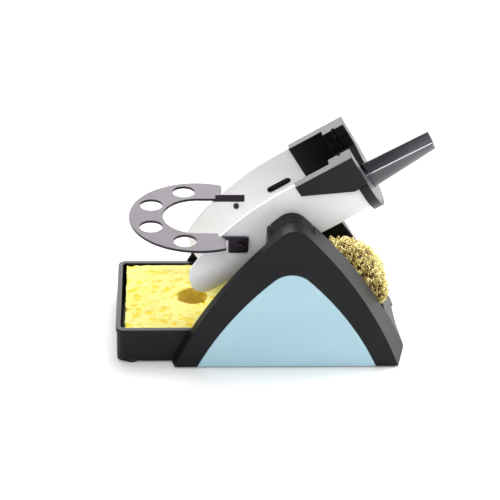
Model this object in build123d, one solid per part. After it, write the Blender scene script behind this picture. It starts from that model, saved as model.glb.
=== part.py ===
from build123d import *
from math import cos, radians, sin
import os

# Safety rest for a soldering iron. Millimetres, +Z up, +X towards the handle end.
# Everything is first laid out with x = 0 on the tilt axis, then moved so that the
# origin is the middle of the footprint.

# Base
frame_depth = 19.4
frame_bottom = 1.0
face_half_width = 63.6
inner_half_width = 69.5
face_top = 89.2
inner_top = 90.0
crown_radius = 9.8
leg_bulge = 5.2
leg_thickness = 5.2
shell_wall = 2.4
deep_start = -13.4
panel_half_width = 51.0
panel_top = 61.9
panel_crown = 14.0
panel_bulge = 3.3
panel_thickness = 2.2
panel_gap = 0.3
peg_radius = 2.0
peg_length = 1.6
cap_half_width = 11.3
cap_depth = 9.4
cap_gap = 0.5

# Bridge between the side frames
floor_thickness = 1.6
ledge_height = 3.0
ledge_start = -8.0
ledge_end = 50.0
boss_radius = 4.5
boss_positions = (-2.0, 42.0)
wall_thickness = 2.0
wall_height = 35.0
tie_end = -58.0
side_play = 0.2
ballast_height = 30.0

# Tray and sponge
tray_end = -96.7
tray_half_depth = 37.4
tray_top = 22.0
tray_wall = 2.8
tray_corner = 5.0
tray_floor = 1.8
tray_play = 0.6
rim_step = 0.5
rim_height = 2.6
sponge_play = 0.4
sponge_end_gap = 2.0
sponge_below_rim = 0.8
sponge_hole_x = -53.0
sponge_hole_radius = 8.3

# Wool cup and wool
cup_play = 0.4
cup_wall = 1.8
cup_end_height = 26.0
cup_back_height = 33.0
cup_side_height = 40.0
notch_radius = 24.0
notch_height = 9.0
wool_play = 0.5
wool_top = 59.0
wool_round = 13.0

# Feet
foot_radius = 4.2
foot_socket = 0.8
tie_foot = (-48.0, 30.0)
frame_foot_x = 56.0
frame_foot_inset = 7.0
tray_foot_x = -88.0
tray_foot_y = 32.9

# Tilting holder: lengths along its own slope, heights square to it
tilt = 32.0
trough_z = 80.0
trough_half_width = 22.9
holder_play = 0.7
trough_depth = 21.2
trough_wall = 1.5
lower_end_top = (-62.0, 5.7)
lower_end_nose = (-66.3, -6.0)
lower_end_bottom = -58.0
rim_points = ((-51.0, 10.9), (-34.0, 16.2), (-19.0, 19.6), (-3.0, 21.5))
cheek_start = 14.8
cheek_top = 22.2
cheek_front = 15.8
cheek_rear = 3.0
cheek_rise = 41.0
cheek_thin = 5.6
cheek_thick = 10.6
cheek_step = 36.0
collar_fit = 0.1
collar_proud = 2.7
flange_start = 43.8
flange_thickness = 5.4
flange_rim = 0.6
flange_height = 3.0
plate_inset = 1.6
plate_thickness = 1.2
plate_groove = 0.35
channel_bottom_wall = 3.2
pad_groove = 1.8
pad_groove_depth = 1.6
slot_centre = (-1.5, 4.0)
slot_length = 15.2
slot_height = 4.2

# Handle chute: a gutter, deep at the flange and shallow at its end
chute_length = 39.4
chute_half_width = 8.0
chute_wall = 1.5
chute_root = (-1.4, -5.4, -13.4)
chute_end = (-2.6, -3.2, -9.6)

# Pivot
pivot_z = 73.0
pin_radius = 2.5
pin_head = 1.3
pin_length = 9.0
pin_boss_depth = 3.5
running_fit = 0.05
bush_wall = 1.8
washer_thickness = 0.4

# Tip rack
rack_x = -50.7
rack_z = 74.7
rack_radius = 38.6
rack_inner_radius = 19.7
rack_thickness = 1.5
rack_arm_end = -36.0
rack_hole_radius = 6.5
rack_pitch_radius = 28.9
rack_hole_angles = (-75.0, -25.0, 25.0, 75.0)
tab_start = -34.3
tab_end = -23.2
tab_bottom = 64.9
tab_top = 74.2
tab_corner = 1.4
tongue_below = 1.3
tongue_above = 1.5
tongue_start = -40.0
rack_screw = (-27.8, 69.2)
rack_screw_radius = 1.5
rack_screw_head = 2.3
rack_fit = 0.1

# Screws
frame_screw_radius = 1.7
frame_screw_head = 3.2
frame_screw_length = 14.0
screw_head_height = 1.5
collar_screws = (22.0, 36.0)
collar_screw_radius = 1.4
screw_fit = 0.1

inner_face = trough_half_width + holder_play
half_depth = inner_face + frame_depth
base_feet = (tie_foot, (frame_foot_x, half_depth - frame_foot_inset))
panel_recess = panel_thickness + panel_gap
pin_head_radius = pin_radius + 2.0
washer_radius = pin_radius + 3.5
pin_boss_radius = pin_radius + 3.9
boss_inside = trough_half_width - pin_boss_depth
flange_radius = trough_half_width + collar_proud + flange_rim
floor_top = frame_bottom + floor_thickness
cut = 200.0


def block(x0, x1, y0, y1, z0, z1):
    return Pos((x0 + x1) / 2, (y0 + y1) / 2, (z0 + z1) / 2) * Box(x1 - x0, y1 - y0, z1 - z0)


def rod(radius, length, x, y, z, towards=(0, 0, 1)):
    """Cylinder that starts at a point and runs in a direction."""
    plane = Plane(origin=(x, y, z), z_dir=towards)
    return extrude(plane * Circle(radius), length)


def hexagon(radius, length, x, y, z, towards=(0, 0, 1)):
    """Six-sided key socket that starts at a point and runs in a direction."""
    plane = Plane(origin=(x, y, z), z_dir=towards)
    return extrude(plane * RegularPolygon(radius, 6), length)


def both_sides(shape):
    return [shape, mirror(shape, about=Plane.XZ)]


def arch(half_width, top, radius, bulge, y, bottom):
    """A-shaped outline: bowed legs that run into a round crown."""
    shoulder = (radius * sin(radians(45)), top - radius * (1 - cos(radians(45))))
    run, rise = half_width - shoulder[0], shoulder[1] - bottom
    chord = (run**2 + rise**2) ** 0.5
    middle = (
        (half_width + shoulder[0]) / 2 + bulge * rise / chord,
        (bottom + shoulder[1]) / 2 + bulge * run / chord,
    )
    line = [
        Line((-half_width, bottom), (half_width, bottom)),
        ThreePointArc((half_width, bottom), middle, shoulder),
        ThreePointArc(shoulder, (0, top), (-shoulder[0], shoulder[1])),
        ThreePointArc(
            (-shoulder[0], shoulder[1]), (-middle[0], middle[1]), (-half_width, bottom)
        ),
    ]
    return Plane.XZ.offset(-y) * make_face(line)


def frame_body(inset, y_front, y_back, bottom):
    """The flared frame between two depths, shrunk all round by an inset."""

    def at(y):
        share = (y + half_depth) / frame_depth
        half_width = face_half_width + share * (inner_half_width - face_half_width)
        top = face_top + share * (inner_top - face_top)
        return arch(half_width - inset, top - inset, crown_radius, leg_bulge, y, bottom)

    return loft([at(y_front), at(y_back)], ruled=True)


def save(name, *solids):
    """Keeps a node's solids until all are moved to the final frame."""
    nodes[name] = [s for shape in solids for s in shape.solids()]


nodes = {}

# Front side frame. The left leg is a plate, the rest a deep shell, open underneath.
frame = frame_body(0, -half_depth, -inner_face, frame_bottom)
frame -= block(-cut, deep_start, leg_thickness - half_depth, 0, -1, cut)
cavity = frame_body(
    shell_wall, leg_thickness - half_depth, -inner_face - shell_wall, frame_bottom - 1
)
cavity -= block(-cut, deep_start + shell_wall, -cut, cut, -cut, cut)
cavity_top = pivot_z - 12
cavity -= block(-cut, cut, -cut, cut, cavity_top, cut)
frame -= cavity
panel_bed = arch(
    panel_half_width, panel_top, panel_crown, panel_bulge, -half_depth, frame_bottom
)
frame -= extrude(panel_bed, -panel_recess)
for x in boss_positions:
    boss_y = -(inner_face + half_depth - leg_thickness) / 2
    boss = rod(boss_radius, cavity_top - frame_bottom - ledge_height, x, boss_y,
               frame_bottom + ledge_height + side_play)
    frame += boss & frame_body(1, -half_depth, -inner_face, frame_bottom)
    frame -= rod(frame_screw_radius, frame_screw_length + 2, x, boss_y, frame_bottom)
ledge_back = half_depth - leg_thickness - side_play
frame -= block(ledge_start - side_play, ledge_end + side_play, -ledge_back - side_play,
               -inner_face + 1, 0, frame_bottom + ledge_height + side_play)
foot_x, foot_y = base_feet[1]
frame -= rod(foot_radius + screw_fit, foot_socket + 1, foot_x, -foot_y, frame_bottom - 1)

# Pivot cap: the rear half of the crown, which closes the bearing from above
cap_front = -inner_face - cap_depth
crown = frame_body(0, cap_front, -inner_face, frame_bottom)
cap = crown & block(-cap_half_width, cap_half_width, cap_front, -inner_face,
                    pivot_z, cut)
bush_radius = pin_radius + running_fit + bush_wall
bush_start = inner_face + 0.1
bush_length = cap_depth - 1.4
cap -= rod(bush_radius + screw_fit, cut, 0, 0, pivot_z, (0, -1, 0))
cap -= block(-cut, cut, -cut, 0, 0, pivot_z + cap_gap)
pocket = block(-cap_half_width - cap_gap, cap_half_width + cap_gap,
               cap_front - cap_gap, 0, pivot_z, cut)
frame -= pocket
frame -= rod(bush_radius + screw_fit, cap_depth + cap_gap + 1, 0, 1 - inner_face,
             pivot_z, (0, -1, 0))

# Blue inlay with three pegs on its back
inlay_front = extrude(
    arch(panel_half_width - panel_gap, panel_top - panel_gap, panel_crown,
         panel_bulge, -half_depth, frame_bottom),
    -panel_thickness,
)
pegs = [(-34.0, 12.0), (34.0, 12.0), (0.0, 46.0)]
for x, z in pegs:
    inlay_front += rod(peg_radius, panel_recess - panel_thickness + peg_length, x,
                       panel_thickness - half_depth, z, (0, 1, 0))
    frame -= rod(peg_radius + screw_fit, panel_recess + peg_length + 0.3, x,
                 -half_depth, z, (0, 1, 0))

for name, shape in (("side_frame", frame), ("pivot_cap", cap), ("side_panel", inlay_front)):
    front, rear = both_sides(shape)
    save(name + "_front", front)
    save(name + "_rear", rear)

# Bridge: floor under the cup, ledges into the frames, tie under the tray, cross wall
wall_back = deep_start - wall_thickness
bridge_end = inner_half_width - cup_wall - 2.0
bridge = block(wall_back, bridge_end, -inner_face + side_play, inner_face - side_play,
               frame_bottom, floor_top)
bridge += block(tie_end, wall_back + 0.5, -tray_half_depth, tray_half_depth,
                frame_bottom, floor_top)
bridge += block(wall_back, deep_start, -inner_face + side_play, inner_face - side_play,
                frame_bottom, wall_height)
ledge = block(ledge_start, ledge_end, -ledge_back, -inner_face + side_play,
              frame_bottom, frame_bottom + ledge_height)
for x in boss_positions:
    ledge -= rod(frame_screw_head + screw_fit, screw_head_height + 0.2, x, boss_y,
                 frame_bottom)
    ledge -= rod(frame_screw_radius + screw_fit, ledge_height, x, boss_y, frame_bottom)
for side in both_sides(ledge):
    bridge += side
foot_x, foot_y = base_feet[0]
for y in (-foot_y, foot_y):
    bridge -= rod(foot_radius + screw_fit, foot_socket + 1, foot_x, y, frame_bottom - 1)
save("base_bridge", bridge)

screws = []
for x in boss_positions:
    head = rod(frame_screw_head, screw_head_height, x, boss_y, frame_bottom + 0.2)
    shank = rod(frame_screw_radius, frame_screw_length, x, boss_y, frame_bottom + 0.2)
    socket = hexagon(1.5, 0.9, x, boss_y, frame_bottom + 0.2)
    screws += both_sides(head + shank - socket)
save("frame_screws", *screws)

ballast_back = boss_positions[0] + boss_radius + 0.5
ballast_front = boss_positions[1] - boss_radius - 0.5
ballast = block(ballast_back, ballast_front, -ledge_back + 0.3, -inner_face - shell_wall - 0.3,
                frame_bottom + ledge_height, frame_bottom + ledge_height + ballast_height)
ballast &= frame_body(shell_wall + 0.6, -half_depth, -inner_face, 0)
save("ballast_bars", *both_sides(ballast))

feet = []
for x, y in base_feet:
    feet += both_sides(rod(foot_radius, frame_bottom + foot_socket, x, -y, 0))
save("base_feet", *feet)

# Sponge tray: hangs over the tie with its inner part, stands on its own feet outside
tray_back = wall_back - tray_play
tray_mid = (tray_end + tray_back) / 2
tray_length = tray_back - tray_end
tray_bottom = frame_bottom + 0.2
shelf = floor_top + 0.3


def tray_block(inset, z0, z1):
    face = RectangleRounded(
        tray_length - 2 * inset, 2 * (tray_half_depth - inset), tray_corner - min(inset, 3.5)
    )
    return extrude(Pos(tray_mid, 0, z0) * face, z1 - z0)


tray = tray_block(rim_step, tray_bottom, tray_top) + tray_block(0, tray_top - rim_height, tray_top)
tray -= tray_block(tray_wall, shelf + tray_floor, tray_top + 1)
tray -= block(tie_end - tray_play, cut, -cut, cut, 0, shelf)
for y in (-tray_foot_y, tray_foot_y):
    tray -= rod(foot_radius + screw_fit, foot_socket + 1, tray_foot_x, y, tray_bottom - 1)
save("sponge_tray", tray)
tray_feet = both_sides(rod(foot_radius, tray_bottom + foot_socket, tray_foot_x, -tray_foot_y, 0))
save("tray_feet", *tray_feet)

sponge_top = tray_top - sponge_below_rim
sponge = tray_block(tray_wall + sponge_play, shelf + tray_floor + 0.05, sponge_top)
sponge &= block(tray_end + tray_wall + sponge_end_gap, cut, -cut, cut, 0, cut)
sponge -= rod(sponge_hole_radius, cut, sponge_hole_x, 0, 0)
save("sponge", sponge)

# Wool cup: a drawer between the frames whose end wall carries on their slope
cup_half = inner_face - cup_play
cup_back = deep_start + cup_play
slope = arch(inner_half_width, inner_top, crown_radius, leg_bulge, cup_half, tray_bottom)
inside_slope = arch(
    inner_half_width - cup_wall, inner_top - cup_wall, crown_radius, leg_bulge,
    cup_half - cup_wall, tray_bottom,
)
cup_floor = floor_top + cup_play
cup = extrude(slope, 2 * cup_half)
hollow = extrude(inside_slope, 2 * (cup_half - cup_wall))
hollow &= block(cup_back + cup_wall, cut, -cut, cut, cup_floor + cup_wall, cut)
cup &= block(cup_back, cut, -cut, cut, tray_bottom, cup_side_height)
cup -= hollow
cup -= block(cup_back - 1, bridge_end + cup_play, -cut, cut, 0, cup_floor)
cup_rim = Polyline(
    (cup_back - 1, cup_back_height), (cup_back + 14, cup_back_height),
    (22.0, cup_side_height), (36.0, cup_side_height), (49.0, cup_end_height),
    (cut, cup_end_height), (cut, cut), (cup_back - 1, cut), close=True,
)
cup -= extrude(Plane.XZ.offset(-cut / 2) * make_face(cup_rim), cut)
notch = rod(notch_radius, cut, inner_half_width - 10, 0,
            tray_bottom + notch_height - notch_radius, (1, 0, 0))
cup -= notch & block(bridge_end + cup_play + 0.4, cut, -cut, cut, 0, tray_bottom + notch_height)
save("wool_cup", cup)

wool_half = cup_half - cup_wall - wool_play
wool_left = cup_back + cup_wall + wool_play
wool_floor = cup_floor + cup_wall + 0.1
wool_line = Polyline(
    (wool_left, wool_floor), (60.0, wool_floor), (55.0, 22.0), (53.2, cup_end_height),
    (60.0, cup_end_height + 2), (60.5, 37.0), (50.0, 52.0), (38.0, 59.0),
    (27.0, 58.0), (12.0, 46.0), (0.0, 38.0), (wool_left, 33.0), close=True,
)
wool = extrude(Plane.XZ.offset(-wool_half) * make_face(wool_line), 2 * wool_half)
shoulder_height = wool_top - wool_round
wool_crown = make_face([
    ThreePointArc((-wool_half, shoulder_height), (0, wool_top), (wool_half, shoulder_height)),
    Polyline((wool_half, shoulder_height), (wool_half, 0), (-wool_half, 0),
             (-wool_half, shoulder_height)),
])
wool &= extrude(Plane.YZ.offset(-cut / 2) * wool_crown, cut)
save("wire_wool", wool)

# Holder. Its parts are made level and then tilted about a line through trough_z.
place = Pos(0, 0, trough_z) * Rot(0, -tilt, 0)
side_plane = Plane.XZ


def u_section(half_width, depth, height):
    """Round-bottomed trough section, square to the holder's axis."""
    bottom = half_width - depth
    line = [
        ThreePointArc((-half_width, bottom), (0, -depth), (half_width, bottom)),
        Line((half_width, bottom), (half_width, height)),
        Line((half_width, height), (-half_width, height)),
        Line((-half_width, height), (-half_width, bottom)),
    ]
    return Plane.YZ * make_face(line)


def gutter(half_width, rim, side_end, bottom):
    """U-shaped outline, straight at the sides and round below."""
    return make_face([
        ThreePointArc((-half_width, side_end), (0, bottom), (half_width, side_end)),
        Line((half_width, side_end), (half_width, rim)),
        Line((half_width, rim), (-half_width, rim)),
        Line((-half_width, rim), (-half_width, side_end)),
    ])


def side_cut(points, half_width=cut / 2):
    """Prism across the holder from a side outline of (along, height) points."""
    return extrude(side_plane.offset(-half_width) * make_face(Polyline(*points, close=True)),
                   2 * half_width)


inner_half = trough_half_width - trough_wall
inner_depth = trough_depth - trough_wall
length = flange_start - lower_end_nose[0] + 4
trough = extrude(u_section(trough_half_width, trough_depth, 40), length)
trough -= extrude(u_section(inner_half, inner_depth, 50), length)
trough = Pos(flange_start - length, 0, 0) * trough
rim = Spline(lower_end_top, *rim_points, (cheek_start, cheek_top - 0.3))
lower_end = Spline(lower_end_top, lower_end_nose, (lower_end_bottom, -trough_depth))
outline = make_face([
    rim,
    lower_end,
    Polyline(
        (cheek_start, cheek_top - 0.3), (cheek_start, cheek_front - collar_fit),
        (cheek_rise, cheek_rear - collar_fit), (flange_start, cheek_rear - collar_fit),
        (flange_start, -40), (lower_end_bottom, -40), (lower_end_bottom, -trough_depth),
    ),
])
trough &= extrude(side_plane.offset(-40) * outline, 80)
slot = SlotOverall(slot_length, slot_height)
trough -= Pos(*[slot_centre[0], -40, slot_centre[1]]) * extrude(side_plane * slot, -80)

# Collar insert: liner in the trough, cheeks over its rims, flange at the end
liner = extrude(
    Pos(cheek_start, 0, 0) * u_section(inner_half - collar_fit, inner_depth - collar_fit, cheek_top),
    flange_start - cheek_start,
)
cheeks = side_cut([
    (cheek_start + collar_fit, cheek_top), (cheek_start + collar_fit, cheek_front),
    (cheek_rise, cheek_rear), (flange_start + 1, cheek_rear), (flange_start + 1, cheek_top),
], trough_half_width + collar_proud)
flange_end = flange_start + flange_thickness
flange = extrude(
    Plane.YZ.offset(flange_start) * Pos(0, flange_height) * Circle(flange_radius), flange_thickness
)
flange &= block(0, cut, -cut, cut, -cut, cheek_rear)
flange += block(flange_start, flange_end, -trough_half_width - collar_proud,
                trough_half_width + collar_proud, cheek_rear - 0.01, cheek_top)
collar = liner + cheeks + flange
thin_half = trough_half_width + collar_proud - cheek_thin
thick_half = trough_half_width + collar_proud - cheek_thick
thin_channel = u_section(thin_half, inner_depth - channel_bottom_wall, 40)
collar -= extrude(Pos(cheek_start - 1, 0, 0) * thin_channel, cheek_step - cheek_start + 1)
rim_height_root, side_end, gutter_bottom = chute_root
mouth_half = chute_half_width - chute_wall
mouth = Plane.YZ * make_face([
    ThreePointArc((-mouth_half, side_end), (0, gutter_bottom + chute_wall),
                  (mouth_half, side_end)),
    Polyline(
        (mouth_half, side_end), (mouth_half, rim_height_root), (thick_half, 8),
        (thick_half, 40), (-thick_half, 40), (-thick_half, 8),
        (-mouth_half, rim_height_root), (-mouth_half, side_end),
    ),
])
collar -= extrude(Pos(cheek_step - 0.01, 0, 0) * mouth, flange_end - cheek_step + 1)
pad_height = cheek_top - 7.5
for side in (-1, 1):
    y0, y1 = sorted((side * (thick_half - 1), side * (thick_half + pad_groove_depth)))
    collar -= block(cheek_step - 1, flange_end + 1, y0, y1, pad_height - pad_groove / 2,
                    pad_height + pad_groove / 2)
    middle = (cheek_step + flange_end) / 2
    collar -= block(middle - pad_groove / 2, middle + pad_groove / 2, y0, y1, 8, cheek_top + 1)
plate_outline = Pos(0, flange_height) * Circle(flange_radius - plate_inset) & (
    Pos(0, -cut / 2 + cheek_rear) * Rectangle(cut, cut)
)
plate_outline += Pos(0, cheek_rear - 0.01 + (cheek_top - 1 - cheek_rear) / 2) * Rectangle(
    2 * (trough_half_width - plate_inset), cheek_top - 1 - cheek_rear
)
plate_outline -= Pos(0, 20 + rim_height_root) * Rectangle(2 * (thick_half + 1.6), 40)
chute_seat = gutter(chute_half_width + collar_fit, rim_height_root + 1, side_end,
                    gutter_bottom - collar_fit)
plate_outline -= chute_seat
bed = extrude(Plane.YZ.offset(flange_end - plate_thickness) * plate_outline, 5)
collar -= bed
plate = extrude(
    Plane.YZ.offset(flange_end - plate_thickness) * offset(
        plate_outline, -plate_groove, kind=Kind.INTERSECTION),
    plate_thickness,
)

# Handle chute: let into the flange
root = flange_end - plate_thickness
chute_tip = flange_end + chute_length
chute = loft([
    Plane.YZ.offset(root) * gutter(chute_half_width, *chute_root),
    Plane.YZ.offset(chute_tip) * gutter(chute_half_width, *chute_end),
], ruled=True)
hollows = [(rim + 5, side, bottom + chute_wall) for rim, side, bottom in (chute_root, chute_end)]
chute -= loft([
    Plane.YZ.offset(root) * gutter(mouth_half, *hollows[0]),
    Plane.YZ.offset(chute_tip) * gutter(mouth_half, *hollows[1]),
], ruled=True)
collar -= extrude(Plane.YZ.offset(root) * chute_seat, 5)

# Screws from under the trough into the collar
collar_screw_solids = []
for a in collar_screws:
    head = rod(collar_screw_radius * 2, screw_head_height, a, 0, -trough_depth - screw_head_height)
    shank = rod(collar_screw_radius, screw_head_height + trough_wall + 2.2, a, 0,
                -trough_depth - screw_head_height)
    socket = hexagon(1.2, 0.9, a, 0, -trough_depth - screw_head_height)
    hole = rod(collar_screw_radius + screw_fit, 8, a, 0, -trough_depth - screw_head_height)
    trough -= hole
    collar -= hole & block(-cut, cut, -9, 9, -cut, -trough_depth + trough_wall + 2.6)
    collar_screw_solids.append(place * (head + shank - socket))

trough = place * trough
collar = place * collar

# Pivot pins through flat bosses on the trough's walls, with washers and bushes
pin_start = boss_inside - pin_head
pin = rod(pin_head_radius, pin_head, 0, -pin_start, pivot_z, (0, -1, 0))
pin += rod(pin_radius, inner_face + pin_length - pin_start, 0, -pin_start, pivot_z, (0, -1, 0))
for side in (-1, 1):
    trough += rod(pin_boss_radius, trough_half_width - boss_inside, 0, side * boss_inside,
                  pivot_z, (0, side, 0))
trough -= rod(pin_radius, cut, 0, -cut / 2, pivot_z, (0, 1, 0))
trough -= rod(pin_head_radius, 2 * boss_inside, 0, -boss_inside, pivot_z, (0, 1, 0))
washer = rod(washer_radius, washer_thickness, 0, -trough_half_width - 0.1, pivot_z, (0, -1, 0))
washer -= rod(pin_radius, 5, 0, -trough_half_width + 1, pivot_z, (0, -1, 0))
bush = rod(bush_radius, bush_length, 0, -bush_start, pivot_z, (0, -1, 0))
bush -= rod(pin_radius + running_fit, 40, 0, -10, pivot_z, (0, -1, 0))
save("pivot_pins", *both_sides(pin))
save("friction_washers", *both_sides(washer))
save("pivot_bushes", *both_sides(bush))

# Tip rack: flat U with four holes, tabs bent down outside the trough's walls
wall_side = trough_half_width + rack_fit
rack_face = Circle(rack_radius) & Pos(-cut / 2 + rack_arm_end - rack_x, 0) * Rectangle(cut, cut)
rack_face -= Circle(rack_inner_radius)
rack_face -= Pos(cut / 2, 0) * Rectangle(cut, 2 * rack_inner_radius)
rack_face -= Pos(10.7 + cut / 2, 0) * Rectangle(cut, 2 * wall_side)
for angle in rack_hole_angles:
    spot = (-rack_pitch_radius * cos(radians(angle)), rack_pitch_radius * sin(radians(angle)))
    rack_face -= Pos(*spot) * Circle(rack_hole_radius)
rack = extrude(Pos(rack_x, 0, rack_z - rack_thickness) * rack_face, rack_thickness)
strip_low, strip_high = rack_z - rack_thickness, rack_z
rack_screws = []
for side in (-1, 1):
    y0, y1 = sorted((side * wall_side, side * (wall_side + rack_thickness)))
    tab = block(tab_start, tab_end, y0, y1, tab_bottom, tab_top)
    lower = [e for e in tab.edges().filter_by(Axis.Y) if e.center().Z < tab_bottom + 1]
    rack += fillet(lower, tab_corner)
    rack += block(rack_arm_end - 4, tab_end - 1, y0, y1, strip_low, strip_high)
    t0, t1 = sorted((side * (inner_half - 0.2), side * (wall_side + 0.5)))
    far = side > 0
    tongue_top = strip_high + tongue_above if far else tab_top
    rack += block(tongue_start if far else tab_start, tab_end, t0, t1,
                  strip_low - tongue_below, tongue_top)
    s0, s1 = sorted((side * (inner_half - 1), side * (wall_side + 1)))
    trough -= block(-cut if far else tab_start - rack_fit, tab_end + rack_fit, s0, s1,
                    strip_low - tongue_below - rack_fit, tongue_top + rack_fit)
    x, z = rack_screw
    away = (0, side, 0)
    hole = rod(rack_screw_radius + screw_fit, 8, x, side * (inner_half - 2), z, away)
    trough -= hole
    rack -= hole
    head = rod(rack_screw_head, screw_head_height, x, side * (wall_side + rack_thickness), z, away)
    shank = rod(rack_screw_radius, trough_wall + rack_thickness + 1.5, x,
                side * (inner_half - 1.4), z, away)
    socket = hexagon(1.1, 0.9, x, side * (wall_side + rack_thickness + screw_head_height - 0.9),
                     z, away)
    rack_screws.append(head + shank - socket)
save("tip_rack", rack)
save("rack_screws", *rack_screws)
save("holder_trough", trough)
save("collar_insert", collar)
save("collar_plate", place * plate)
save("handle_chute", place * chute)
save("collar_screws", *collar_screw_solids)

# Move everything so that the origin is the middle of the footprint, and write it
boxes = [s.bounding_box() for solids in nodes.values() for s in solids]
middle_x = (min(b.min.X for b in boxes) + max(b.max.X for b in boxes)) / 2
os.makedirs("parts", exist_ok=True)
for name, solids in nodes.items():
    moved = [Pos(-middle_x, 0, 0) * s for s in solids]
    export_step(moved[0] if len(moved) == 1 else Compound(children=moved), f"parts/{name}.step")
print("tilt axis at x", round(-middle_x, 3), "z", pivot_z)
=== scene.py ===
import bpy, bmesh, random
from math import cos, pi, radians, sin
from mathutils import Euler, Matrix, Vector, noise


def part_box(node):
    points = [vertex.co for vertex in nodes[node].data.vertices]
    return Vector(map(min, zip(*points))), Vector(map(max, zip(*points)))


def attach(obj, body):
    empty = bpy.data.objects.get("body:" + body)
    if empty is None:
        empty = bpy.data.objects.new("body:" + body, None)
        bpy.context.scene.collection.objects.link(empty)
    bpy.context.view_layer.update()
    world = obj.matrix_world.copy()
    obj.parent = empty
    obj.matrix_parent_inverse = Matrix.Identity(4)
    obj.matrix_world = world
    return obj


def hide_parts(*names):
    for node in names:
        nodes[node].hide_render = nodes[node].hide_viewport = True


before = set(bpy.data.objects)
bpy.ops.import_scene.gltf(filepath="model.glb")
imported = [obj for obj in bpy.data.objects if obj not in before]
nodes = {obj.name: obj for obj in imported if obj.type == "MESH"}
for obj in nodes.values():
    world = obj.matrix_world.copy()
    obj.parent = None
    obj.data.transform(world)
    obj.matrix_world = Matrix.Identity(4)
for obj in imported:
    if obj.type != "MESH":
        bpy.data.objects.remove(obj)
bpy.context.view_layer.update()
print("frame loaded:", len(nodes), "nodes")

# Camera: raised in front of the stand, a little left of it and turned back towards it
viewpoint = {"spot": (-0.06467, -0.68127, 0.46155), "turn": (59.047, -1.968, -3.231), "lens": 100.007}
camera = bpy.data.objects.new("camera", bpy.data.cameras.new("camera"))
camera.data.lens = viewpoint["lens"]
camera.data.sensor_width = 36
camera.data.clip_start = 0.01
camera.data.clip_end = 50
camera.location = viewpoint["spot"]
camera.rotation_euler = [radians(angle) for angle in viewpoint["turn"]]
bpy.context.scene.collection.objects.link(camera)
bpy.context.scene.camera = camera
bpy.context.scene.view_settings.view_transform = "Standard"


# One wrapped socket, so that shader sums can be written as sums
class Signal:
    def __init__(self, finish, socket):
        self.finish, self.socket = finish, socket

    def sum(self, operation, *others, clamp=False):
        inputs = {i: v for i, v in enumerate((self, *others))}
        return self.finish.make("ShaderNodeMath", {"operation": operation, "use_clamp": clamp}, inputs)

    def swapped(self, operation, other):
        return self.finish.make("ShaderNodeMath", {"operation": operation}, {0: other, 1: self})

    def __add__(self, other):
        return self.sum("ADD", other)

    def __sub__(self, other):
        return self.sum("SUBTRACT", other)

    def __mul__(self, other):
        return self.sum("MULTIPLY", other)

    def __truediv__(self, other):
        return self.sum("DIVIDE", other)

    def __pow__(self, other):
        return self.sum("POWER", other)

    def __rsub__(self, other):
        return self.swapped("SUBTRACT", other)

    def __rtruediv__(self, other):
        return self.swapped("DIVIDE", other)

    __radd__ = __add__
    __rmul__ = __mul__

    def between(self, low, high):  # 0 below low, 1 above high
        return self.finish.make("ShaderNodeMapRange", {"interpolation_type": "SMOOTHSTEP"},
                                {0: self, 1: low, 2: high})


class Finish:
    def __init__(self, name, look):
        self.look = look
        self.material = bpy.data.materials.new(name)
        self.material.use_nodes = True
        self.tree = self.material.node_tree
        self.tree.nodes.clear()
        self.place = self.make("ShaderNodeTexCoord", output="Object")

    def make(self, kind, settings=None, inputs=None, output=0):
        node = self.tree.nodes.new(kind)
        for key, value in (settings or {}).items():
            if key == "stops":
                ramp = node.color_ramp
                while len(ramp.elements) < len(value):
                    ramp.elements.new(0.5)
                for element, (spot, shade) in zip(ramp.elements, value):
                    element.position, element.color = spot, shade
            else:
                setattr(node, key, value)
        for key, value in (inputs or {}).items():
            if isinstance(value, Signal):
                self.tree.links.new(value.socket, node.inputs[key])
            else:
                node.inputs[key].default_value = value
        return Signal(self, node.outputs[output] if len(node.outputs) else None)

    def stretched(self, x, y, z, turn=(0, 0, 0)):
        return self.make("ShaderNodeMapping", {}, {"Vector": self.place, "Scale": (x, y, z),
                                                   "Rotation": turn})

    def grain(self, perMetre, detail=2.0, rough=0.5, where=None, twist=0.0):
        return self.make("ShaderNodeTexNoise", {}, {
            "Vector": where or self.place, "Scale": perMetre, "Detail": detail,
            "Roughness": rough, "Distortion": twist})

    def cells(self, perMetre, feature="F1", where=None):
        return self.make("ShaderNodeTexVoronoi", {"feature": feature},
                         {"Vector": where or self.place, "Scale": perMetre})

    def mixed(self, factor, first, second):
        return self.make("ShaderNodeMix", {"data_type": "RGBA"}, {0: factor, 6: first, 7: second},
                         output=2)

    def softened(self, radius):  # surface direction with its edges rounded
        return self.make("ShaderNodeBevel", {"samples": 4}, {"Radius": radius})

    def edgeMask(self, radius, low=0.02, high=0.25):  # 1 along edges, 0 on faces
        facing = self.make("ShaderNodeNewGeometry", output="Normal")
        along = self.make("ShaderNodeVectorMath", {"operation": "DOT_PRODUCT"},
                          {0: self.softened(radius), 1: facing}, output="Value")
        return (1 - along).between(low, high)

    def raised(self, height, depth, strength=1.0, under=None):
        inputs = {"Height": height, "Distance": depth, "Strength": strength}
        if under:
            inputs["Normal"] = under
        return self.make("ShaderNodeBump", {}, inputs)

    def done(self, colour, roughness, normal, **constants):
        inputs = {"Base Color": colour, "Roughness": roughness, "Normal": normal}
        inputs.update({key.replace("_", " "): value for key, value in constants.items()})
        shader = self.make("ShaderNodeBsdfPrincipled", {}, inputs, output="BSDF")
        self.make("ShaderNodeOutputMaterial", {}, {"Surface": shader})
        return self.material


def shade(red, green, blue):
    return (red, green, blue, 1.0)
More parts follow.
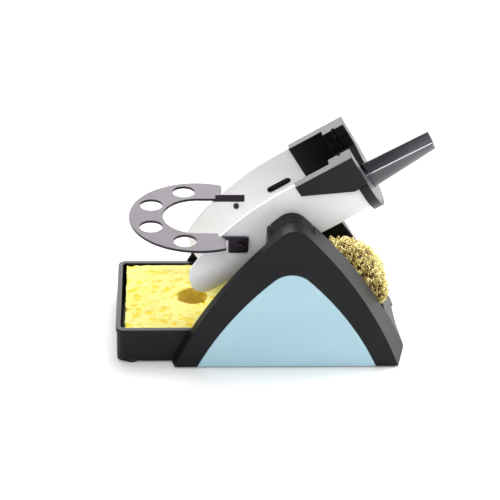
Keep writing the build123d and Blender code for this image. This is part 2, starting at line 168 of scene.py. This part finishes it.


# Moulded plastics: fine spark-eroded grain, faint flow marks, and edges rubbed smoother; the edges are also
# lightened in colour, partly as rubbed wear and partly as a painted highlight
def mouldedPlastic(name, look):
    f = Finish(name, look)
    grain = f.grain(look["grain"], 3.0, 0.6)
    pits = f.cells(look["grain"] * 0.8)
    flow = f.grain(28.0, 2.0, 0.5, f.stretched(1.0, 0.45, 1.6))
    dust = f.grain(260.0, 4.0, 0.65).between(0.60, 0.78)
    edge = f.edgeMask(look["edge"])
    body = f.mixed(flow.between(0.3, 0.7), look["dark"], look["light"])
    body = f.mixed(dust * look["dust"], body, look["dustAndEdgeSheen"])
    # Painted highlight along the edges: they are lightened towards the dust-and-sheen colour, partly as
    # rubbed wear
    body = f.mixed(edge * look["edgeLighten"], body, look["dustAndEdgeSheen"])
    gloss = look["rough"] + (flow - 0.5) * 0.10 + (grain - 0.5) * 0.08 - edge * 0.08
    normal = f.raised(grain * 0.6 + pits * 0.4, look["depth"], 1.0, f.softened(look["edge"]))
    return f.done(body, gloss, normal, **look["constants"])


plasticLooks = {
    "shellBlack": {
        "grain": 2600.0, "depth": 0.00006, "edge": 0.0007, "rough": 0.42, "dust": 0.08, "edgeLighten": 0.30,
        "dark": shade(0.004, 0.004, 0.0055), "light": shade(0.007, 0.007, 0.0095),
        "dustAndEdgeSheen": shade(0.045, 0.045, 0.052), "constants": {"IOR": 1.28}},
    "inlayBlue": {
        "grain": 3200.0, "depth": 0.00003, "edge": 0.0005, "rough": 0.46, "dust": 0.03, "edgeLighten": 0.25,
        "dark": shade(0.42, 0.645, 0.735), "light": shade(0.45, 0.675, 0.765),
        "dustAndEdgeSheen": shade(0.62, 0.82, 0.88), "constants": {"IOR": 1.47}},
    "collarBlack": {
        "grain": 3000.0, "depth": 0.00004, "edge": 0.0006, "rough": 0.36, "dust": 0.08, "edgeLighten": 0.4,
        "dark": shade(0.005, 0.005, 0.0065), "light": shade(0.009, 0.0085, 0.011),
        "dustAndEdgeSheen": shade(0.09, 0.09, 0.10), "constants": {"IOR": 1.30}},
    "plateGrey": {
        "grain": 3000.0, "depth": 0.00004, "edge": 0.0004, "rough": 0.40, "dust": 0.06, "edgeLighten": 0.3,
        "dark": shade(0.085, 0.082, 0.092), "light": shade(0.105, 0.102, 0.114),
        "dustAndEdgeSheen": shade(0.18, 0.18, 0.19), "constants": {"IOR": 1.5}},
    "chuteGloss": {
        "grain": 1500.0, "depth": 0.00002, "edge": 0.0005, "rough": 0.22, "dust": 0.05, "edgeLighten": 0.3,
        "dark": shade(0.085, 0.081, 0.094), "light": shade(0.110, 0.105, 0.120),
        "dustAndEdgeSheen": shade(0.12, 0.12, 0.13), "constants": {"IOR": 1.55}},
    "footRubber": {
        "grain": 1800.0, "depth": 0.00008, "edge": 0.0006, "rough": 0.78, "dust": 0.25, "edgeLighten": 0.3,
        "dark": shade(0.018, 0.017, 0.017), "light": shade(0.028, 0.027, 0.026),
        "dustAndEdgeSheen": shade(0.10, 0.095, 0.09), "constants": {"IOR": 1.45}},
}
finishes = {name: mouldedPlastic(name, look) for name, look in plasticLooks.items()}


# Powder coat over sheet: orange peel, thin grey where the edges are rubbed
coatLook = {"peel": 520.0, "depth": 0.00005, "edge": 0.0005, "clean": shade(0.92, 0.925, 0.945),
            "shaded": shade(0.88, 0.885, 0.91), "rubbed": shade(0.44, 0.44, 0.46)}


def powderCoat(name, look):
    f = Finish(name, look)
    peel = f.grain(look["peel"], 1.0, 0.4)
    fine = f.grain(look["peel"] * 5, 2.0, 0.5)
    drift = f.grain(22.0, 3.0, 0.5)
    specks = f.grain(700.0, 2.0, 0.7).between(0.70, 0.80)
    edge = f.edgeMask(look["edge"], 0.05, 0.4)
    chipped = edge * f.grain(180.0, 4.0, 0.6).between(0.50, 0.62)
    body = f.mixed(drift.between(0.35, 0.7), look["clean"], look["shaded"])
    body = f.mixed(specks * 0.15, body, look["rubbed"])
    body = f.mixed(chipped * 0.5, body, look["rubbed"])
    gloss = 0.33 + (drift - 0.5) * 0.12 + (fine - 0.5) * 0.08
    normal = f.raised(peel + fine * 0.25, look["depth"], 1.0, f.softened(look["edge"]))
    return f.done(body, gloss, normal, IOR=1.5)


finishes["whiteCoat"] = powderCoat("whiteCoat", coatLook)


# Metals: rolling or turning marks along one way, stains, and bright rubbed edges
def workedMetal(name, look):
    f = Finish(name, look)
    marks = f.grain(look["marks"], 3.0, 0.6, f.stretched(*look["along"]))
    cloud = f.grain(look["cloud"], 4.0, 0.6)
    pits = f.grain(look["marks"] * 1.7, 2.0, 0.6).between(0.62, 0.8)
    edge = f.edgeMask(look["edge"])
    body = f.mixed(cloud.between(0.3, 0.72), look["dark"], look["light"])
    body = f.mixed(marks.between(0.35, 0.75) * 0.4, body, look["light"])
    body = f.mixed(edge * look["edgeLighten"], body, look["bright"])
    gloss = look["rough"] + (marks - 0.5) * 0.16 + (cloud - 0.5) * 0.12 - edge * 0.06
    normal = f.raised(marks + pits * 0.5, look["depth"], 0.8, f.softened(look["edge"]))
    return f.done(body, gloss, normal, Metallic=look["metal"], **look.get("constants", {}))


metalLooks = {
    "rackSteel": {
        "marks": 900.0, "along": (0.12, 1.0, 1.0), "cloud": 60.0, "edge": 0.0004, "rough": 0.40,
        "edgeLighten": 0.5, "depth": 0.00002, "metal": 0.04, "constants": {"IOR": 1.38, "Specular_Tint": shade(0.86, 0.74, 0.88)},
        "dark": shade(0.013, 0.009, 0.013),
        "light": shade(0.020, 0.014, 0.020), "bright": shade(0.16, 0.14, 0.17)},
    "screwSteel": {
        "marks": 2600.0, "along": (1.0, 0.2, 1.0), "cloud": 400.0, "edge": 0.0003, "rough": 0.34,
        "edgeLighten": 0.5, "depth": 0.00003, "metal": 1.0, "dark": shade(0.20, 0.20, 0.21),
        "light": shade(0.34, 0.34, 0.35), "bright": shade(0.62, 0.62, 0.63)},
    "pinSteel": {
        "marks": 2200.0, "along": (1.0, 0.1, 1.0), "cloud": 300.0, "edge": 0.0003, "rough": 0.26,
        "edgeLighten": 0.4, "depth": 0.00002, "metal": 1.0, "dark": shade(0.42, 0.42, 0.43),
        "light": shade(0.56, 0.56, 0.57), "bright": shade(0.74, 0.74, 0.74)},
    "blackedSteel": {
        "marks": 2600.0, "along": (1.0, 0.2, 1.0), "cloud": 500.0, "edge": 0.0003, "rough": 0.36,
        "edgeLighten": 0.5, "depth": 0.00003, "metal": 0.6, "dark": shade(0.014, 0.013, 0.016),
        "light": shade(0.030, 0.029, 0.034), "bright": shade(0.16, 0.16, 0.17)},
    "bushBrass": {
        "marks": 2200.0, "along": (1.0, 0.1, 1.0), "cloud": 260.0, "edge": 0.0003, "rough": 0.32,
        "edgeLighten": 0.4, "depth": 0.00002, "metal": 1.0, "dark": shade(0.50, 0.34, 0.13),
        "light": shade(0.66, 0.47, 0.20), "bright": shade(0.85, 0.68, 0.36)},
    "ballastIron": {
        "marks": 700.0, "along": (0.4, 1.0, 1.0), "cloud": 130.0, "edge": 0.0006, "rough": 0.62,
        "edgeLighten": 0.4, "depth": 0.00008, "metal": 0.7, "dark": shade(0.045, 0.042, 0.040),
        "light": shade(0.10, 0.095, 0.09), "bright": shade(0.30, 0.29, 0.28)},
}
finishes.update({name: workedMetal(name, look) for name, look in metalLooks.items()})

finishFor = {
    "base_bridge": "shellBlack", "side_frame_front": "shellBlack", "side_frame_rear": "shellBlack",
    "pivot_cap_front": "shellBlack", "pivot_cap_rear": "shellBlack", "sponge_tray": "shellBlack",
    "wool_cup": "shellBlack", "side_panel_front": "inlayBlue", "side_panel_rear": "inlayBlue",
    "pivot_bushes": "bushBrass", "frame_screws": "screwSteel", "ballast_bars": "ballastIron",
    "base_feet": "footRubber", "tray_feet": "footRubber", "holder_trough": "whiteCoat",
    "collar_insert": "collarBlack", "collar_plate": "plateGrey", "handle_chute": "chuteGloss",
    "collar_screws": "screwSteel", "rack_screws": "blackedSteel", "pivot_pins": "pinSteel",
    "friction_washers": "pinSteel", "tip_rack": "rackSteel",
}
for nodeName, finishName in finishFor.items():
    for spot in nodes[nodeName].material_slots:
        spot.link = "OBJECT"
        spot.material = finishes[finishName]
print("finishes on the frame")


def remeshed(nodeName, pieceName, voxel, inset=0.0):
    copy = nodes[nodeName].data.copy()
    bm = bmesh.new()
    bm.from_mesh(copy)
    bmesh.ops.remove_doubles(bm, verts=bm.verts, dist=0.00001)
    if inset:
        bmesh.ops.recalc_face_normals(bm, faces=bm.faces)
        low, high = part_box(nodeName)
        size = high - low
        shrink = Vector(tuple(1 - 2 * inset / s for s in size))
        centre = (low + high) / 2
        bmesh.ops.scale(bm, vec=shrink, verts=bm.verts, space=Matrix.Translation(-centre))
    bm.to_mesh(copy)
    bm.free()
    rough = bpy.data.objects.new(pieceName + "Rough", copy)
    bpy.context.scene.collection.objects.link(rough)
    remesh = rough.modifiers.new("remesh", "REMESH")
    remesh.mode = "VOXEL"
    remesh.voxel_size = voxel
    mesh = bpy.data.meshes.new_from_object(rough.evaluated_get(bpy.context.evaluated_depsgraph_get()))
    bpy.data.objects.remove(rough)
    mesh.name = pieceName
    mesh.materials.clear()
    piece = bpy.data.objects.new(pieceName, mesh)
    bpy.context.scene.collection.objects.link(piece)
    return piece


# Sponge: open pores of several sizes sunk into a slab with soft edges
spongeLook = {
    "voxel": 0.0005, "edge": 0.20, "wave": 0.0003,
    "pores": ((0.0050, 0.50, 0.0009), (0.0030, 0.50, 0.0006), (0.0072, 0.40, 0.0013)),
    "stretch": (0.75, 1.15, 1.0),
    "pale": shade(0.94, 0.87, 0.27), "warm": shade(0.93, 0.82, 0.19), "deep": shade(0.95, 0.72, 0.02),
    "paintedHoleAmber": shade(1.0, 0.70, 0.05), "hole": (-0.044762, 0.0, 0.0083)}


def poreDepth(point):
    deepest, sunk = 0.0, 0.0
    point = Vector([p * s for p, s in zip(point, spongeLook["stretch"])])
    for size, reach, depth in spongeLook["pores"]:
        warped = point + 0.22 * size * noise.noise_vector(point / size * 1.3)
        distances, centres = noise.voronoi(warped / size)
        roll = noise.cell(centres[0] * 37.0)
        radius = reach * (0.45 + 0.55 * abs(roll))
        share = max(0.0, min(1.0, (radius - distances[0]) / spongeLook["edge"]))
        share = share * share * (3 - 2 * share)
        if share * depth > sunk:
            sunk = share * depth
        deepest = max(deepest, share)
    return deepest, sunk


def makeSponge():
    look = spongeLook
    piece = remeshed("sponge", "spongeSlab", look["voxel"])
    mesh = piece.data
    bm = bmesh.new()
    bm.from_mesh(mesh)
    for step in range(3):
        bmesh.ops.smooth_vert(bm, verts=bm.verts, factor=0.5, use_axis_x=True, use_axis_y=True,
                              use_axis_z=True)
    layer = bm.verts.layers.float.new("pore")
    bm.normal_update()
    moves = []
    for v in bm.verts:
        share, sunk = poreDepth(v.co)
        swell = look["wave"] * (noise.noise(v.co * 180.0) - 0.6)
        v[layer] = share
        moves.append((v, v.normal * (swell - sunk)))
    for v, move in moves:
        v.co += move
    bm.to_mesh(mesh)
    bm.free()
    for face in mesh.polygons:
        face.use_smooth = True
    f = Finish("spongeFoam", look)
    pore = f.make("ShaderNodeAttribute", {"attribute_name": "pore"}, output="Fac")
    fine = f.cells(1400.0)
    patches = f.grain(70.0, 3.0, 0.6)
    body = f.mixed(patches.between(0.35, 0.65), look["pale"], look["warm"])
    body = f.mixed((0.30 - fine).between(0.0, 0.25) * 0.35, body, look["warm"])
    # Painted shade: the pore hollows turn a deeper, darker yellow
    body = f.mixed(pore ** 1.4, body, look["deep"])
    x, y, reach = look["hole"]
    apart = f.make("ShaderNodeVectorMath", {"operation": "LENGTH"}, {
        0: f.make("ShaderNodeMapping", {}, {"Vector": f.place, "Location": (-x, -y, 0), "Scale": (1, 1, 0)})},
        output="Value")
    # Painted light: the hole's wall and a thin ring around its rim take a bright amber, lifting the shade
    # inside the hole
    holeAmberMask = 1 - apart.between(reach - 0.0002, reach + 0.0016)
    body = f.mixed(holeAmberMask * (0.55 + patches * 0.4), body, look["paintedHoleAmber"])
    normal = f.raised(fine, 0.00022, 0.9)
    mesh.materials.append(f.done(body, 0.82 + patches * 0.1, normal, **{
        "Subsurface_Weight": 0.25, "Subsurface_Radius": (0.004, 0.003, 0.001),
        "Subsurface_Scale": 0.6}))
    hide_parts("sponge")
    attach(piece, "tray")
    print("sponge:", len(mesh.polygons), "faces")


makeSponge()


# Wire wool: thousands of small turned curls over a dark core whose colour is painted shade
woolLook = {
    "voxel": 0.0016, "inset": 0.0022, "pieces": 2, "curls": 1700, "seed": 7, "drop": 0.0115,
    "shapes": ((0.00120, 1.5, 0.0010), (0.00150, 1.25, 0.0013), (0.0011, 1.8, 0.0009),
               (0.00175, 1.05, 0.0006), (0.0014, 1.5, 0.0016)),
    "wire": 0.00055, "steps": 9,
    "bright": shade(1.0, 0.92, 0.46), "gold": shade(0.95, 0.78, 0.28), "brown": shade(0.52, 0.34, 0.09)}


def turnedCurl(radius, turns, pitch):
    bm = bmesh.new()
    bmesh.ops.create_circle(bm, segments=3, radius=woolLook["wire"] / 2,
                            matrix=Matrix.Translation((radius, 0, 0)) @ Matrix.Rotation(pi / 2, 4, "X"))
    steps = round(turns * woolLook["steps"])
    bmesh.ops.spin(bm, geom=bm.verts[:] + bm.edges[:], cent=(0, 0, 0), axis=(0, 0, 1),
                   dvec=(0, 0, pitch * turns / steps), angle=turns * 2 * pi, steps=steps,
                   use_merge=False)
    bmesh.ops.recalc_face_normals(bm, faces=bm.faces)
    bmesh.ops.translate(bm, verts=bm.verts, vec=(0, 0, -pitch * turns / 2))
    mesh = bpy.data.meshes.new("curl")
    bm.to_mesh(mesh)
    bm.free()
    return mesh


def makeWool():
    look = woolLook
    core = remeshed("wire_wool", "woolCore", look["voxel"], look["inset"])
    bm = bmesh.new()
    bm.from_mesh(core.data)
    for step in range(14):
        bmesh.ops.smooth_vert(bm, verts=bm.verts, factor=0.5, use_axis_x=True, use_axis_y=True,
                              use_axis_z=True)
    for v in bm.verts:  # rounder towards both side walls
        v.co.z -= look["drop"] * min(1.0, abs(v.co.y) / 0.0205) ** 2 * max(0.0, v.co.z - 0.03) / 0.03
    bm.to_mesh(core.data)
    bm.free()
    f = Finish("woolBrass", look)
    tone = f.grain(900.0, 2.0, 0.6)
    patch = f.grain(90.0, 3.0, 0.6)
    body = f.mixed(tone.between(0.3, 0.7), look["gold"], look["bright"])
    body = f.mixed(patch.between(0.45, 0.8) * 0.5, body, look["brown"])
    brass = f.done(body, 0.20 + tone * 0.15, f.raised(tone, 0.00004), Metallic=0.75)
    # Painted shade: the core is coloured brown going to near black across cells, standing in for the shade
    # deep among the curls
    f = Finish("woolShade", look)
    coreShadeCells = f.cells(700.0)
    body = f.mixed(coreShadeCells.between(0.1, 0.7), look["brown"], shade(0.05, 0.03, 0.008))
    core.data.materials.append(f.done(body, 0.6 + coreShadeCells * 0.2, f.raised(coreShadeCells, 0.0006), Metallic=0.5))
    shapes = [turnedCurl(*s) for s in look["shapes"]]
    dice = random.Random(look["seed"])
    faces = [(p.center.copy(), p.normal.copy()) for p in core.data.polygons if p.center.z > 0.012]
    for number in range(look["pieces"]):
        bm = bmesh.new()
        for i in range(look["curls"]):
            centre, out = dice.choice(faces)
            jitter = Vector([dice.uniform(-1, 1) for k in range(3)]) * look["voxel"] * 0.7
            height = dice.uniform(-0.0018, 0.0009)
            curl = dice.choice(shapes).copy()
            turn = Euler([dice.uniform(0, 2 * pi) for k in range(3)]).to_matrix().to_4x4()
            curl.transform(Matrix.Translation(centre + jitter + out * height) @ turn
                           @ Matrix.Scale(dice.uniform(0.7, 1.2), 4))
            bm.from_mesh(curl)
            bpy.data.meshes.remove(curl)
        mesh = bpy.data.meshes.new(f"woolCurls{number}")
        bm.to_mesh(mesh)
        bm.free()
        mesh.materials.append(brass)
        for face in mesh.polygons:
            face.use_smooth = True
        piece = bpy.data.objects.new(mesh.name, mesh)
        bpy.context.scene.collection.objects.link(piece)
        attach(piece, "cup")
        if number == 0:
            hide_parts("wire_wool")
        print("wool:", len(mesh.polygons), "faces")
    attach(core, "cup")


makeWool()

# Plain floor and soft light
studio = {"floor": 6.0, "sky": 0.22, "floorTone": shade(0.90, 0.90, 0.90), "floorGlow": 0.03,
          "lamps": (("above", (0.0, 0.3, 1.3), 1.1, 15.0), ("right", (1.2, 0.3, 0.65), 0.8, 20.0),
                    ("behind", (0.3, 1.4, 1.4), 0.6, 9.0),
                    ("card", (-0.35, 1.7, 1.0), 2.0, 82.0),
                    ("left", (-1.2, -0.5, 0.8), 0.7, 5.0), ("front", (-0.1, -1.5, 1.5), 0.5, 10.0))}


def buildStudio():
    bm = bmesh.new()
    bmesh.ops.create_grid(bm, x_segments=8, y_segments=8, size=studio["floor"] / 2)
    mesh = bpy.data.meshes.new("floor")
    bm.to_mesh(mesh)
    bm.free()
    floor = bpy.data.objects.new("floor", mesh)
    bpy.context.scene.collection.objects.link(floor)
    f = Finish("floorPaper", studio)
    mottle = f.grain(40.0, 3.0, 0.5)
    mesh.materials.append(f.done(studio["floorTone"], 0.85 + mottle * 0.1, f.raised(mottle, 0.0001),
                                 Emission_Color=shade(1, 1, 1), Emission_Strength=studio["floorGlow"]))
    world = bpy.data.worlds.new("studio")
    world.use_nodes = True
    world.node_tree.nodes["Background"].inputs["Color"].default_value = shade(1, 1, 1)
    world.node_tree.nodes["Background"].inputs["Strength"].default_value = studio["sky"]
    bpy.context.scene.world = world
    for name, spot, size, power in studio["lamps"]:
        lamp = bpy.data.objects.new(name, bpy.data.lights.new(name, "AREA"))
        lamp.data.size = size
        lamp.data.energy = power
        lamp.visible_diffuse = name != "card"  # the card only puts a sheen on the tops
        lamp.location = spot
        lamp.rotation_euler = (Vector((0, 0, 0.05)) - Vector(spot)).to_track_quat("-Z", "Y").to_euler()
        bpy.context.scene.collection.objects.link(lamp)


buildStudio()
print("studio set")
